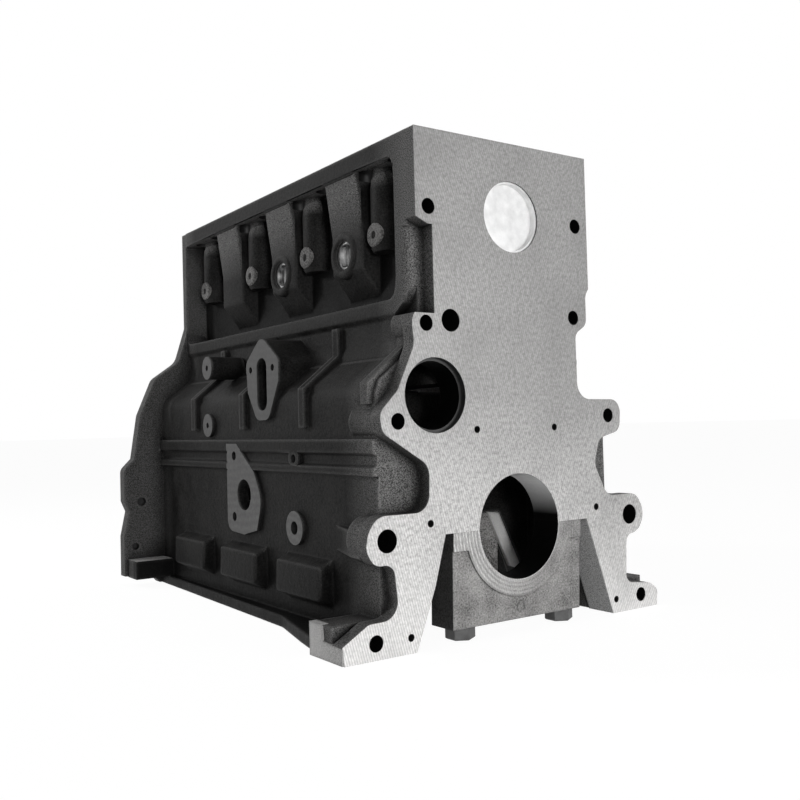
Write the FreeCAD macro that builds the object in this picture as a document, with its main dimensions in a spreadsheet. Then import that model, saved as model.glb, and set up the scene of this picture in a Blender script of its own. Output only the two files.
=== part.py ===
"""Bare cylinder block of an inline four-cylinder diesel engine, with its main bearing caps.

The origin is the centre of the crankshaft bore on the near end face. +Z runs up to the head deck,
+Y runs along the crankshaft away from the near face, and +X is to the right seen from the near end.
The camshaft, the pushrod chamber and the photographed side are on the -X side.
"""
import FreeCAD, Part
import os
import re
import Sketcher

from FreeCAD import Placement, Rotation, Vector

SIZES = {
    # main planes
    "deck_height": 323,
    "rail_drop": 88,
    "rail_thickness": 10,
    "far_foot_rise": 7,
    "deck_left": 100,
    "deck_right": 90,
    # cylinders
    "first_bore": 64,
    "last_bore": 58,
    "bore_pitch": 120,
    "bore_radius": 51,
    "barrel_wall": 7,
    "barrel_foot": 118,
    # water jacket
    "jacket_floor": 200,
    "deck_thickness": 12,
    "jacket_gap": 9,
    "jacket_half": 42,
    "jacket_right": 84,
    # crankcase
    "wall_left": 133,
    "wall_right": 118,
    "wall": 8,
    "end_web": 30,
    "web": 26,
    "roof_height": 98,
    "shelf_height": 178,
    "neck_left": 97,
    "neck_right": 70,
    # crankshaft bearings
    "main_radius": 44,
    "cap_half_width": 71,
    "cap_drop": 77,
    "cap_recess": 1.5,
    "cap_land_radius": 58,
    "cap_land_drop": 15,
    "cap_gap": 8,
    "leg_foot": 109,
    "inner_leg_foot": 112,
    # camshaft and tappets
    "cam_out": 85,
    "cam_height": 110,
    "cam_radius": 27.5,
    "gallery_roof": 140,
    # flanges
    "near_plate": 14,
    "far_plate": 14,
    "post_round": 8,
    "scallop_left": 93,
    "scallop_right": 91,
    "notch_top": 251,
    # pushrod chamber
    "chamber_near": 31,
    "chamber_far": 11,
    "chamber_floor": 190,
    "chamber_roof": 307,
    "chamber_wall": 74,
    "column_offset": 9,
    "column_radius": 12.5,
    "column_out": 76.5,
    "column_foot": 238,
    "panel_offset": 51,
    "panel_width": 50,
    "plug_height": 240,
    "plug_radius": 12.7,
    "plug_depth": 7,
    "plug_seat": 93,
    # near face holes
    "top_plug_height": 260.4,
    "top_plug_radius": 30.1,
    "top_plug_depth": 8,
    "dowel_ear_out": 134.8,
    "dowel_ear_radius": 9,
    "foot_bolt_out": 147,
    "foot_bolt_drop": 75.4,
    "cam_ear_out": 122,
    "cam_ear_height": 90,
    "right_ear_out": 110.5,
    "right_ear_height": 91,
    "neck_bolt_out": 92.5,
    "neck_bolt_height": 167,
    "waist_bolt_out": 70,
    "waist_bolt_height": 178,
    "passage_out": 68,
    "passage_height": 170,
    "passage_radius": 9.2,
    "top_bolt_left": 87.5,
    "top_bolt_right": 75.5,
    "top_bolt_height": 260,
    "flange_bolt_radius": 6.4,
    "flange_bolt_depth": 28,
    # far flange
    "far_half_width": 180,
    # hidden side
    "cooler_height": 100,
    "cup_wall": 1.6,
    "cup_set_back": 1.5,
    "plug_set_back": 2,
}

COUNT = 4
LENGTH = "(first_bore + 3 * bore_pitch + last_bore)"
WORD = re.compile(r"[a-z][a-z_]*")
ALONG = {
    "x": Rotation(Vector(0, 1, 0), 90),
    "y": Rotation(Vector(1, 0, 0), -90),
    "z": Rotation(),
}
# an outline lies in two of the axes and is drawn out along the third
PLANES = {
    "xz": (Rotation(Vector(1, 0, 0), 90), Vector(0, 1, 0), "y"),
    "xy": (Rotation(), Vector(0, 0, 1), "z"),
    "yz": (Rotation(Vector(0, 1, 0), Vector(0, 0, 1), Vector(1, 0, 0), "XYZ"), Vector(1, 0, 0), "x"),
}

doc = FreeCAD.newDocument("engine_block")


def make_sheet():
    """The driving dimensions, one to a row."""
    table = doc.addObject("Spreadsheet::Sheet", "sizes")
    for row, (word, size) in enumerate(SIZES.items(), start=1):
        table.set(f"A{row}", word)
        table.set(f"B{row}", str(size))
        table.setAlias(f"B{row}", word)
    doc.recompute()
    return table


sheet = make_sheet()


def bound(expression):
    """The expression with each size's word pointing at its cell."""
    return WORD.sub(lambda m: f"sizes.{m[0]}" if m[0] in SIZES else m[0], str(expression))


def number(expression):
    """What an expression comes to now."""
    return float(sheet.evalExpression(bound(expression)))


def bind(item, **properties):
    """Ties properties of an object to expressions."""
    for name, expression in properties.items():
        item.setExpression(name, bound(expression))
    return item


def place(item, x, y, z):
    """Ties an object's place to expressions."""
    for axis, expression in zip("xyz", (x, y, z)):
        item.setExpression(f"Placement.Base.{axis}", bound(expression))
    return item


def box(x, y, z):
    """A block between two expressions in each axis."""
    item = doc.addObject("Part::Box", "box")
    (x0, x1), (y0, y1), (z0, z1) = x, y, z
    bind(item, Length=f"({x1}) - ({x0})", Width=f"({y1}) - ({y0})", Height=f"({z1}) - ({z0})")
    return place(item, x0, y0, z0)


def rod(axis, radius, start, length):
    """A round bar that runs from its start along an axis."""
    item = doc.addObject("Part::Cylinder", "rod")
    item.Placement = Placement(Vector(), ALONG[axis])
    bind(item, Radius=radius, Height=length)
    return place(item, *start)


def draw(sketch, corners):
    """Straight sides between corners given as (across, up) or (across, up, rounding)."""
    points = [Vector(number(c[0]), number(c[1]), 0) for c in corners]
    count = len(points)
    for i, point in enumerate(points):
        sketch.addGeometry(Part.LineSegment(point, points[(i + 1) % count]))
    for i in range(count):
        sketch.addConstraint(Sketcher.Constraint("Coincident", i, 2, (i + 1) % count, 1))
    for i, corner in enumerate(corners):
        for kind, expression, size in zip(("DistanceX", "DistanceY"), corner, points[i]):
            row = sketch.addConstraint(Sketcher.Constraint(kind, -1, 1, i, 1, size))
            sketch.setExpression(f"Constraints[{row}]", bound(expression))
    for i, corner in enumerate(corners):
        if len(corner) == 3:
            arc = sketch.GeometryCount
            sketch.fillet(i, 1, number(corner[2]), True, True)
            row = sketch.addConstraint(Sketcher.Constraint("Radius", arc, number(corner[2])))
            sketch.setExpression(f"Constraints[{row}]", bound(corner[2]))
    return sketch


def outline(plane, corners, start):
    """A sketched outline that stands at its start along the plane's normal."""
    turn, _, axis = PLANES[plane]
    sketch = doc.addObject("Sketcher::SketchObject", "outline")
    sketch.Placement = Placement(Vector(), turn)
    sketch.setExpression(f"Placement.Base.{axis}", bound(start))
    return draw(sketch, corners)


def prism(plane, corners, start, length):
    """An outline drawn out square to its plane."""
    item = doc.addObject("Part::Extrusion", "prism")
    item.Base = outline(plane, corners, start)
    item.DirMode = "Custom"
    item.Dir = PLANES[plane][1]
    item.Solid = True
    return bind(item, LengthFwd=length)


def joined(pieces):
    if len(pieces) == 1:
        return pieces[0]
    item = doc.addObject("Part::MultiFuse", "joined")
    item.Shapes = pieces
    return item


def less(body, tool):
    item = doc.addObject("Part::Cut", "less")
    item.Base = body
    item.Tool = tool
    return item


def bore_y(i):
    """Along the block to cylinder i, counted from 0."""
    return f"(first_bore + {i} * bore_pitch)"


def web_y(i):
    """Along the block to the middle of the web between cylinders i and i + 1."""
    return f"(first_bore + ({i} + 0.5) * bore_pitch)"


def main_section():
    """The long body between the end flanges, in section."""
    return prism(
        "xz",
        [
            ("-deck_left", "deck_height"),
            ("-deck_left", "shelf_height"),
            ("-neck_left", "shelf_height - 4"),
            ("-neck_left", "156"),
            ("-neck_left - 4", "144"),
            ("-wall_left + 4", "123"),
            ("-wall_left", "113"),
            ("-wall_left", "-rail_drop"),
            ("wall_right", "-rail_drop"),
            ("wall_right", "76"),
            ("wall_right - 5", "93"),
            ("wall_right - 22", "106"),
            ("neck_right", 106),
            ("neck_right", 166),
            ("jacket_right", 184),
            ("jacket_right", "deck_height - 20"),
            ("deck_right", "deck_height - 14"),
            ("deck_right", "deck_height"),
        ],
        "near_plate",
        f"{LENGTH} - near_plate - far_plate",
    )


def near_flange():
    """The near end plate: ears round the bolt holes, with scallops between them."""
    left = [
        ("0", "deck_height"),
        ("-deck_left", "deck_height"),
        ("-deck_left", "notch_top"),
        ("-deck_left + 16", "notch_top - 7", 7),
        ("-deck_left + 16", "neck_bolt_height + 22", 12),
        ("-neck_bolt_out - 14", "neck_bolt_height + 1", 8),
        ("-neck_bolt_out - 12", "neck_bolt_height - 17", 20),
        ("-cam_ear_out + 0.5", "cam_ear_height + 24", 12),
        ("-cam_ear_out - 17", "cam_ear_height + 6.5", 11),
        ("-cam_ear_out - 14.5", "cam_ear_height - 8.5", 10),
        ("-scallop_left", "54.5", 14),
        ("-scallop_left - 1.5", "18.5", 14),
        ("-dowel_ear_out - 11", "19", 15),
        ("-dowel_ear_out - 20", "-5", 12),
        ("-dowel_ear_out - 12", "-18.5", 10),
        ("-dowel_ear_out + 5.5", "-18.5", 9),
        ("-dowel_ear_out + 10", "-60", 14),
        ("-foot_bolt_out - 6", "-60.5", 8),
        ("-foot_bolt_out - 29.5", "-rail_drop + 14"),
        ("-foot_bolt_out - 28", "-rail_drop"),
        ("0", "-rail_drop"),
    ]
    right = [
        ("0", "-rail_drop"),
        ("foot_bolt_out + 14", "-rail_drop", 12),
        ("foot_bolt_out + 28", "-foot_bolt_drop - 1", 8),
        ("foot_bolt_out + 13", "-66", 12),
        ("dowel_ear_out - 7", "-62", 8),
        ("dowel_ear_out - 5", "-19", 9),
        ("dowel_ear_out + 17", "-15", 13),
        ("dowel_ear_out + 15", "18.5", 14),
        ("scallop_right + 15", "18.5", 14),
        ("scallop_right", "48", 14),
        ("scallop_right + 7", "70.5", 10),
        ("right_ear_out + 14.5", "right_ear_height - 14", 10),
        ("right_ear_out + 17", "right_ear_height + 14.5", 12),
        ("right_ear_out - 38", "right_ear_height + 15", 15),
        ("waist_bolt_out + 2", "waist_bolt_height - 14", 9),
        ("waist_bolt_out + 16", "waist_bolt_height - 5.5", 9),
        ("waist_bolt_out + 16", "waist_bolt_height + 21", 12),
        ("deck_right", "waist_bolt_height + 27"),
        ("deck_right", "deck_height"),
        ("0", "deck_height"),
    ]
    return [prism("xz", half, "0", "near_plate") for half in (left, right)]


def far_flange():
    """The far end plate, which carries the gear housing and spreads out over the crankcase."""
    return prism(
        "xz",
        [
            ("-deck_left + 1", "deck_height"),
            ("-deck_left + 1", "210"),
            ("-112", "169", 20),
            ("-142", "148", 14),
            ("-160", "106"),
            ("-168", "56"),
            ("-far_half_width", "44", 10),
            ("-far_half_width", "8"),
            ("-far_half_width + 5", "-4"),
            ("-far_half_width - 1", "-32"),
            ("-far_half_width - 1", "-rail_drop + far_foot_rise + 4"),
            ("-146", "-rail_drop + far_foot_rise"),
            ("-140", "-rail_drop"),
            ("140", "-rail_drop"),
            ("146", "-rail_drop + far_foot_rise"),
            ("far_half_width - 2", "-rail_drop + far_foot_rise + 4"),
            ("far_half_width - 2", "44"),
            ("165", "56"),
            ("150", "112"),
            ("122", "140"),
            ("100", "160"),
            ("deck_right", "200"),
            ("deck_right", "deck_height"),
        ],
        f"{LENGTH} - far_plate",
        "far_plate",
    )


def pan_rail():
    """The sump's flange, which widens towards the near end."""
    return prism(
        "xy",
        [
            ("-foot_bolt_out - 28", "0"),
            ("-foot_bolt_out - 24", "46"),
            ("-foot_bolt_out - 14", "92"),
            ("-wall_left - 13", "152", 50),
            ("-wall_left - 4", LENGTH),
            ("wall_right + 14", LENGTH),
            ("wall_right + 18", "150", 60),
            ("foot_bolt_out + 20", "70", 30),
            ("foot_bolt_out + 22", "0"),
        ],
        "-rail_drop",
        "rail_thickness",
    )


def far_feet():
    """The feet that brace the far end plate, just above the rail's plane."""
    height = ("-rail_drop + far_foot_rise + 3", "-rail_drop + 30")
    length = (f"{LENGTH} - 42", f"{LENGTH} - far_plate")
    sides = [("-far_half_width + 3", "-wall_left + 3"), ("wall_right - 3", "far_half_width - 6")]
    return [box(side, length, height) for side in sides]


def ears():
    """The ears run back along the block and die into its walls."""
    deep = "near_plate + 16"
    pieces = [
        rod("y", "15", ("-cam_ear_out", "0", "cam_ear_height"), "48"),
        rod("y", "13.5", ("-neck_bolt_out", "0", "neck_bolt_height"), deep),
    ]
    for side, wall in (("-", "-wall_left + 2"), ("", "wall_right - 2")):
        pieces.append(
            rod("y", "dowel_ear_radius * 2", (f"{side}dowel_ear_out", "0", "-0.4"), deep)
        )
        pieces.append(
            prism(
                "xy",
                [
                    (f"{side}(dowel_ear_out + 16)", "near_plate"),
                    (f"{side}(dowel_ear_out + 14)", deep),
                    (wall, "84"),
                    (wall, "near_plate"),
                ],
                "-14",
                "20",
            )
        )
    return pieces


def feet():
    """The lugs that stand up behind the near end plate on the widened rail."""
    sides = [("-foot_bolt_out - 28.5", "-wall_left + 3"), ("wall_right - 3", "foot_bolt_out + 20")]
    length = ("near_plate + 4", "48")
    height = ("-rail_drop", "-rail_drop + 26")
    return [box(side, length, height) for side in sides]


def side_strip():
    """The raised strip with a groove along it, level with the foot of the cam ear."""
    face = "-wall_left - 4"
    return prism(
        "xz",
        [
            (face, "48"),
            (face, "54"),
            ("-wall_left + 1", "57"),
            ("-wall_left + 1", "63"),
            (face, "66"),
            (face, "77"),
            ("-wall_left + 8", "77"),
            ("-wall_left + 8", "48"),
        ],
        "near_plate",
        f"{LENGTH} - near_plate - far_plate",
    )


def wall_ribs():
    """The curved ribs that climb the crankcase wall in line with the bearing webs."""
    starts = [("near_plate + 4", "104")] + [(f"{web_y(i)} - 5", "87") for i in range(COUNT - 1)]
    return [
        prism(
            "xz",
            [
                ("-wall_left - 5", foot),
                ("-wall_left - 5", "121"),
                ("-neck_left - 5", "150"),
                ("-neck_left - 5", "shelf_height - 4"),
                ("-neck_left + 6", "shelf_height - 4"),
                ("-neck_left + 6", foot),
            ],
            start,
            "10",
        )
        for start, foot in starts
    ]


def skirt_bulges():
    """The box-like bulges of both skirts at the bearing webs, with a small ramp on the left ones."""
    pieces = []
    for i in range(COUNT - 1):
        middle = web_y(i)
        pieces.append(
            prism(
                "xz",
                [
                    ("-wall_left - 13", "-29"),
                    ("-wall_left - 14", "-rail_drop + 32"),
                    ("-wall_left + 4", "-rail_drop + 22"),
                    ("-wall_left + 4", "-22"),
                    ("-wall_left - 4", "-25"),
                ],
                f"{middle} - 40",
                "78",
            )
        )
        pieces.append(
            box(
                ("wall_right - 3", "wall_right + 12"),
                (f"{middle} - 34", f"{middle} + 34"),
                ("-rail_drop + 30", "-24"),
            )
        )
    return pieces


def side_pads():
    """The machined pads and bosses on the crankcase wall."""
    face = "-wall_left - 4"
    slot_pad = [
        (200, 174, 14),
        (233, 150, 10),
        (230, 122),
        (212, 95, 12),
        (188, 95, 12),
        (167, 130),
        (166, 150, 10),
    ]
    drain_pad = [
        (282, 68, 10),
        (258, 72),
        (221, 46, 18),
        (206, 20, 22),
        (217, -9),
        (245, -15),
        (282, -13, 12),
    ]
    pieces = [prism("yz", slot_pad, face, "40"), prism("yz", drain_pad, face, "12")]
    bosses = [(143, -1, 15, 12), (142, 60, 9, 12), (327, 152, 12, 38), (328, 92, 12, 12)]
    for y, z, radius, length in bosses:
        pieces.append(rod("x", radius, (face, y, z), length))
    return pieces


def side_pad_holes():
    """The slot and the main holes in those pads."""
    face = "-wall_left - 5"
    slot = [(190, 104, 9), (190, 153, 9), (210, 153, 9), (210, 104, 9)]
    return [
        prism("yz", slot, face, "30"),
        rod("x", "15", (face, 243.5, 23.5), "30"),
    ]


def hidden_side():
    """The oil cooler's pad and the oil gallery's long boss on the right side."""
    return [
        box(
            ("neck_right", "jacket_right + 8"),
            (f"{web_y(1)} + 10", f"{LENGTH} - 40"),
            ("jacket_floor - 8", "jacket_floor - 8 + cooler_height"),
        ),
        rod("y", "14", ("neck_right + 3", "near_plate", "140"), f"{LENGTH} - near_plate - far_plate"),
    ]


def cooler_pocket():
    """The oil cooler's pocket in the right side."""
    top = "jacket_floor - 20 + cooler_height"
    return box(
        ("jacket_right - 8", "jacket_right + 12"),
        (f"{web_y(1)} + 22", f"{LENGTH} - 52"),
        ("jacket_floor + 4", top),
    )


def crankcase_bays():
    """The four hollows between the bearing webs, each with the cam gallery at its left."""
    corners = [
        ("-wall_left + wall", "-rail_drop - 1"),
        ("-wall_left + wall", "98"),
        ("-cam_out - 17", "gallery_roof"),
        ("-cam_out + cam_radius + 1", "gallery_roof"),
        ("-cam_out + cam_radius + 1", "barrel_foot"),
        ("bore_radius + 4", "barrel_foot"),
        ("wall_right - wall - 6", "roof_height"),
        ("wall_right - wall", "roof_height - 18"),
        ("wall_right - wall", "-rail_drop - 1"),
    ]
    edges = [("end_web", f"{web_y(0)} - web / 2")]
    edges += [(f"{web_y(i)} + web / 2", f"{web_y(i + 1)} - web / 2") for i in range(COUNT - 2)]
    edges += [(f"{web_y(COUNT - 2)} + web / 2", f"{LENGTH} - end_web")]
    bays = [prism("xz", corners, start, f"({stop}) - ({start})") for start, stop in edges]
    return joined(bays)


def cap_way():
    """The openings below the crankshaft's centre line, where the caps go.

    Those of the inner webs lean out further than those of the two end walls.
    """
    end = [
        ("-cap_half_width - cap_gap", "0"),
        ("-90.5", "-40"),
        ("-leg_foot - 1", "-rail_drop - 1"),
        ("leg_foot + 1", "-rail_drop - 1"),
        ("93", "-40"),
        ("cap_half_width + cap_gap", "0"),
    ]
    inner = [
        ("-cap_half_width - 1", "0"),
        ("-cap_half_width - 28", "-53"),
        ("-inner_leg_foot", "-rail_drop - 1"),
        ("inner_leg_foot", "-rail_drop - 1"),
        ("cap_half_width + 28", "-53"),
        ("cap_half_width + 1", "0"),
    ]
    return [
        prism("xz", end, "-1", "end_web + 2"),
        prism("xz", inner, "end_web", f"{LENGTH} - 2 * end_web"),
        prism("xz", end, f"{LENGTH} - end_web - 1", "end_web + 2"),
    ]


def water_jacket():
    """The coolant space: a pocket on each side of each cylinder, below the deck."""
    inner = "bore_radius + barrel_wall"
    height = ("jacket_floor", "deck_height - deck_thickness")
    pockets = []
    for i in range(COUNT):
        span = (f"{bore_y(i)} - jacket_half", f"{bore_y(i)} + jacket_half")
        pockets.append(box((f"-({inner}) - jacket_gap", f"-({inner})"), span, height))
        pockets.append(box((inner, f"{inner} + jacket_gap"), span, height))
    return pockets


def pushrod_chamber():
    """The open chamber in the left side, less the columns and slanted panels that stand in it."""
    far = f"{LENGTH} - chamber_far"
    hollow = prism(
        "yz",
        [
            ("chamber_near", "chamber_floor", 10),
            (far, "chamber_floor", 10),
            (far, "chamber_roof"),
            ("chamber_near", "chamber_roof", 8),
        ],
        "-deck_left - 1",
        "deck_left + 1 - chamber_wall",
    )
    standing = [
        rod(
            "z",
            "column_radius",
            ("-column_out", f"{bore_y(i)} + column_offset", "column_foot"),
            "chamber_roof + 1 - column_foot",
        )
        for i in range(COUNT)
    ]
    for i in range(COUNT - 1):
        standing.append(
            prism(
                "xz",
                [
                    ("-deck_left", "chamber_roof + 1"),
                    ("-plug_seat", "plug_height + 18"),
                    ("-plug_seat", "plug_height - 16"),
                    ("-chamber_wall + 1", "chamber_floor + 9"),
                    ("-chamber_wall + 1", "chamber_roof + 1"),
                ],
                f"{bore_y(i)} + panel_offset - panel_width / 2",
                "panel_width",
            )
        )
    return less(hollow, joined(standing))


def chamber_plug_holes():
    """The jacket's two core holes in the chamber's wall."""
    return [
        rod(
            "x",
            "plug_radius",
            ("-plug_seat - 1", f"{bore_y(i)} + panel_offset + 5", "plug_height"),
            "plug_depth + plug_set_back + 1",
        )
        for i in range(COUNT - 2)
    ]


def post_notch():
    """The rounded corner of the chamber's frame, open to view through the near flange's notch."""
    foot = "shelf_height - 3"
    upright = prism(
        "xy",
        [
            ("-deck_left - 9", "-1"),
            ("-deck_left + 16", "-1"),
            ("-deck_left + 16", "near_plate"),
            ("-deck_left", "near_plate", "post_round"),
            ("-deck_left", "near_plate + 16"),
            ("-deck_left - 9", "near_plate + 16"),
        ],
        foot,
        f"notch_top - 5 - ({foot})",
    )
    corner = prism(
        "yz",
        [
            ("near_plate - 1", foot),
            ("near_plate + 22", foot),
            ("near_plate + 7", "shelf_height + 7"),
            ("near_plate - 1", "shelf_height + 22"),
        ],
        "-deck_left - 1",
        "11",
    )
    return [upright, corner]


def near_face_holes():
    """The bolt, dowel and plug holes of the near face."""
    depth = "flange_bolt_depth + 1"
    pieces = [
        rod("y", "top_plug_radius", ("0", "-1", "top_plug_height"), "top_plug_depth + 1"),
        rod("y", "passage_radius", ("-passage_out", "-1", "passage_height"), depth),
    ]
    for side in ("-", ""):
        pieces.append(rod("y", "dowel_ear_radius", (f"{side}dowel_ear_out", "-1", "-0.4"), depth))
        pieces.append(
            rod(
                "y",
                "flange_bolt_radius",
                (f"{side}foot_bolt_out", "-1", "-foot_bolt_drop"),
                "near_plate + 2",
            )
        )
    bolts = [
        ("-cam_ear_out", "cam_ear_height"),
        ("right_ear_out", "right_ear_height"),
        ("-neck_bolt_out", "neck_bolt_height"),
        ("waist_bolt_out", "waist_bolt_height"),
        ("-top_bolt_left", "top_bolt_height"),
        ("top_bolt_right", "top_bolt_height"),
    ]
    return pieces + [rod("y", "flange_bolt_radius", (x, "-1", z), depth) for x, z in bolts]


def long_bores():
    """The crankshaft and camshaft bores, through every web."""
    whole = f"{LENGTH} + 2"
    return [
        rod("y", "main_radius", ("0", "-1", "0"), whole),
        rod("y", "cam_radius", ("-cam_out", "-1", "cam_height"), whole),
    ]


def cylinder_bores():
    height = "deck_height - barrel_foot + 2"
    return [
        rod("z", "bore_radius", ("0", bore_y(i), "barrel_foot - 1"), height) for i in range(COUNT)
    ]


def cap_places():
    """Each bearing's start and depth along the block, from the near end."""
    places = [("0", "end_web")]
    places += [(f"{web_y(i)} - web / 2", "web") for i in range(COUNT - 1)]
    return places + [(f"{LENGTH} - end_web", "end_web")]


def block_casting():
    solid = [main_section(), far_flange(), pan_rail(), side_strip()] + near_flange() + far_feet()
    solid += ears() + feet() + wall_ribs() + skirt_bulges() + side_pads() + hidden_side()
    hollows = [crankcase_bays(), pushrod_chamber()] + post_notch()
    hollows += water_jacket() + cap_way() + long_bores() + cylinder_bores()
    hollows += near_face_holes() + chamber_plug_holes() + side_pad_holes() + [cooler_pocket()]
    casting = less(joined(solid), joined(hollows))
    casting.Refine = True
    casting.Label = "block_casting"
    return casting


def bearing_cap(index, start, depth):
    """A main bearing cap: cast faces, with a machined land round the bore on the near one."""
    blank = prism(
        "xz",
        [
            ("-cap_half_width", "0"),
            ("-cap_half_width - 0.5", "-cap_land_drop"),
            ("-cap_half_width - 2", "-cap_drop"),
            ("cap_half_width - 3", "-cap_drop"),
            ("cap_half_width - 0.5", "-cap_land_drop"),
            ("cap_half_width", "0"),
        ],
        start,
        depth,
    )
    bore = rod("y", "main_radius", ("0", f"{start} - 1", "0"), f"{depth} + 2")
    tools = [bore]
    if index == 1:
        face = box(
            ("-cap_half_width - 3", "cap_half_width + 3"),
            (f"{start} - 1", f"{start} + cap_recess"),
            ("-cap_drop - 1", "-cap_land_drop"),
        )
        land = rod("y", "cap_land_radius", ("0", f"{start} - 2", "0"), "cap_recess + 3")
        tools.append(less(face, land))
    cap = less(blank, joined(tools))
    cap.Label = f"main_bearing_cap_{index}"
    return cap


def cup_plug():
    """The near face's pressed steel cup, turned about its own Z axis with its mouth to the front."""
    body = doc.addObject("PartDesign::Body", "cup")
    plane = next(item for item in body.Origin.OriginFeatures if item.Role == "XZ_Plane")
    sketch = body.newObject("Sketcher::SketchObject", "section")
    sketch.AttachmentSupport = [(plane, "")]
    sketch.MapMode = "FlatFace"
    depth = "top_plug_depth - cup_set_back"
    inside = "top_plug_radius - cup_wall"
    corners = [("0", "0"), ("top_plug_radius", "0"), ("top_plug_radius", depth)]
    corners += [(inside, depth), (inside, "cup_wall"), ("0", "cup_wall")]
    draw(sketch, corners)
    cup = body.newObject("PartDesign::Revolution", "cup")
    cup.Profile = sketch
    cup.ReferenceAxis = (sketch, ["V_Axis"])
    cup.Angle = 360
    body.Tip = cup
    body.Placement = Placement(Vector(), Rotation(Vector(0, 0, 1), Vector(0, -1, 0)))
    return place(body, "0", "top_plug_depth", "top_plug_height")


def core_plugs():
    """The plugs pressed into the jacket's core holes: one in the near face, two in the chamber."""
    plugs = [cup_plug()]
    for i in range(COUNT - 2):
        spot = ("-plug_seat + plug_set_back", f"{bore_y(i)} + panel_offset + 5", "plug_height")
        plugs.append(rod("x", "plug_radius", spot, "plug_depth"))
    group = doc.addObject("Part::Compound", "plugs")
    group.Links = plugs
    group.Label = "core_plugs"
    return group


def main():
    nodes = [block_casting(), core_plugs()]
    nodes += [bearing_cap(i, *span) for i, span in enumerate(cap_places(), start=1)]
    doc.recompute()
    for item in doc.Objects:
        if "Invalid" in item.State or "Error" in item.State:
            raise RuntimeError(f"{item.Name} ({item.Label}) is {item.State}")
    os.makedirs("parts", exist_ok=True)
    for node in nodes:
        if node.Shape.isNull() or not node.Shape.isValid():
            raise RuntimeError(f"{node.Label} has no valid shape")
        node.Shape.exportStep(f"parts/{node.Label}.step")


main()
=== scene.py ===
"""Looks of the cylinder block: cast and machined surfaces, drillings, bolts, light and camera."""

import math

import bmesh
import bpy
from mathutils import Matrix, Vector


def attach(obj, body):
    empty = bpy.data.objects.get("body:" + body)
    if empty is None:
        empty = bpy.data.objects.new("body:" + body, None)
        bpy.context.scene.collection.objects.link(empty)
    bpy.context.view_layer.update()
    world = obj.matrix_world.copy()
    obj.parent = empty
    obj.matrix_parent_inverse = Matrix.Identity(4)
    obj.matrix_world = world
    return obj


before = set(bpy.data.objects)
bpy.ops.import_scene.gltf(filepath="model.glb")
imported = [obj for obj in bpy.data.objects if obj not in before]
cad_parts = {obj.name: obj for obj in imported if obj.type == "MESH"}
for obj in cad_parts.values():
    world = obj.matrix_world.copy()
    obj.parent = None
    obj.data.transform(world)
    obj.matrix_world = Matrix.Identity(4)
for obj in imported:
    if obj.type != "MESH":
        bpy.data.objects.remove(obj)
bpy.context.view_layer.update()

MM = 0.001
ROOT = "root"

# Driving sizes, in millimetres, in the row's frame: x to the right, y along the crank, z up.
# A turned outline is a list of (radius, distance along its axis).
LENGTH = 482
DECK = 323
RAIL = -88
BORES = [64, 184, 304, 424]
BORE_PITCH = BORES[1] - BORES[0]
WEBS = [124, 244, 364]
BORE_RADIUS = 51
BORE_FOOT = 117
MAIN_RADIUS = 44
CAM_X, CAM_Z, CAM_RADIUS, CAM_MOUTH = -85, 110, 27.5, 30
END_WEB = 30

PAD_FACE = -137
CHAMBER_FLOOR = 190
CHAMBER_SPAN = (34, 470)
COVER_FACE = -92
COVER_Z = 250
COLUMN_YS = [y + 9 for y in BORES]
COLUMN_X = -75.5
COLUMN_PROFILE = [(0.1, 236), (14, 236), (16, 239), (16, 290), (15, 298), (12, 304), (6, 307), (0.1, 307.5)]
BOSS_PROFILE = [(3.4, 0), (9.6, 0), (10.6, 1), (12.4, 16), (3.4, 16)]

PLUG_SEAT = -93
PLUG_Z = 240
PLUG_YS = [y + 56 for y in BORES[:2]]
PLUG_DISH, PLUG_DISH_FLOOR = 11, 9.5
PLUG_RIM = [(13.2, 2), (14.4, 0.4), (15.5, 0), (19, 0.2), (20.6, 1.2), (21.5, 3), (22, 9), (13.2, 9)]

CAP_DROP = -77
CAP_YS = [15] + WEBS + [LENGTH - 15]
CAP_BOLT_X = 55.5
CAP_BOLT_RADIUS = 12.4
CAP_WASHER_RADIUS = 11.4
CAP_MARK_Z = -67
CAP_MARK_PROFILE = [(2.4, 0.4), (3.4, -0.8), (4.6, -0.8), (5.6, 0.4)]

STRIP_CORNERS = [(56, 1), (70, -1), (98, -59), (82, -54)]
STRIP_SPAN = (108, 111.5)
FOOT_CORNERS = [(0.6, -87.6), (48.6, -87.6), (48.6, -61.6), (31, -61.6), (29, -63), (28, -74), (0.6, -75)]
FOOT_SPAN = (-176.7, -170)

# Drillings, in millimetres.
NEAR_TAPS = [(-43.8, 81.9), (42.8, 81.9), (-93.5, 9.5), (91.5, 9.5), (-115, -75.8), (113.8, -75.8)]
NEAR_TAP_RADIUS = 3
HEAD_BOLT_RADIUS = 6.5
HEAD_BOLT_XS = (-64, 66)
HEAD_BOLT_DEPTH = 41
VALVE_REACH = 23
PUSHROD_X, PUSHROD_RADIUS = -87, 8
COOLANT_X, COOLANT_RADIUS, COOLANT_REACH = 58, 3.5, 29.9
TAPPET_RADIUS = 8
FAR_TAPS = [(-160, 6.7, 5), (-168, -44, 4), (160, 6.7, 5)]
RAIL_TAP_XS = (-129, 122)
RAIL_TAP_YS = range(60, 460, 46)
RAIL_TAP_RADIUS = 3.4

# The near face's larger holes, as (x, z, radius).
FLANGE_HOLES = [
    (-122, 90, 6.4),
    (110.5, 91, 6.4),
    (-92.5, 167, 6.4),
    (70, 178, 6.4),
    (-87.5, 260, 6.4),
    (75.5, 260, 6.4),
    (-147, -75.4, 6.4),
    (147, -75.4, 6.4),
    (-134.8, -0.4, 9),
    (134.8, -0.4, 9),
    (-68, 170, 9.2),
]

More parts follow.
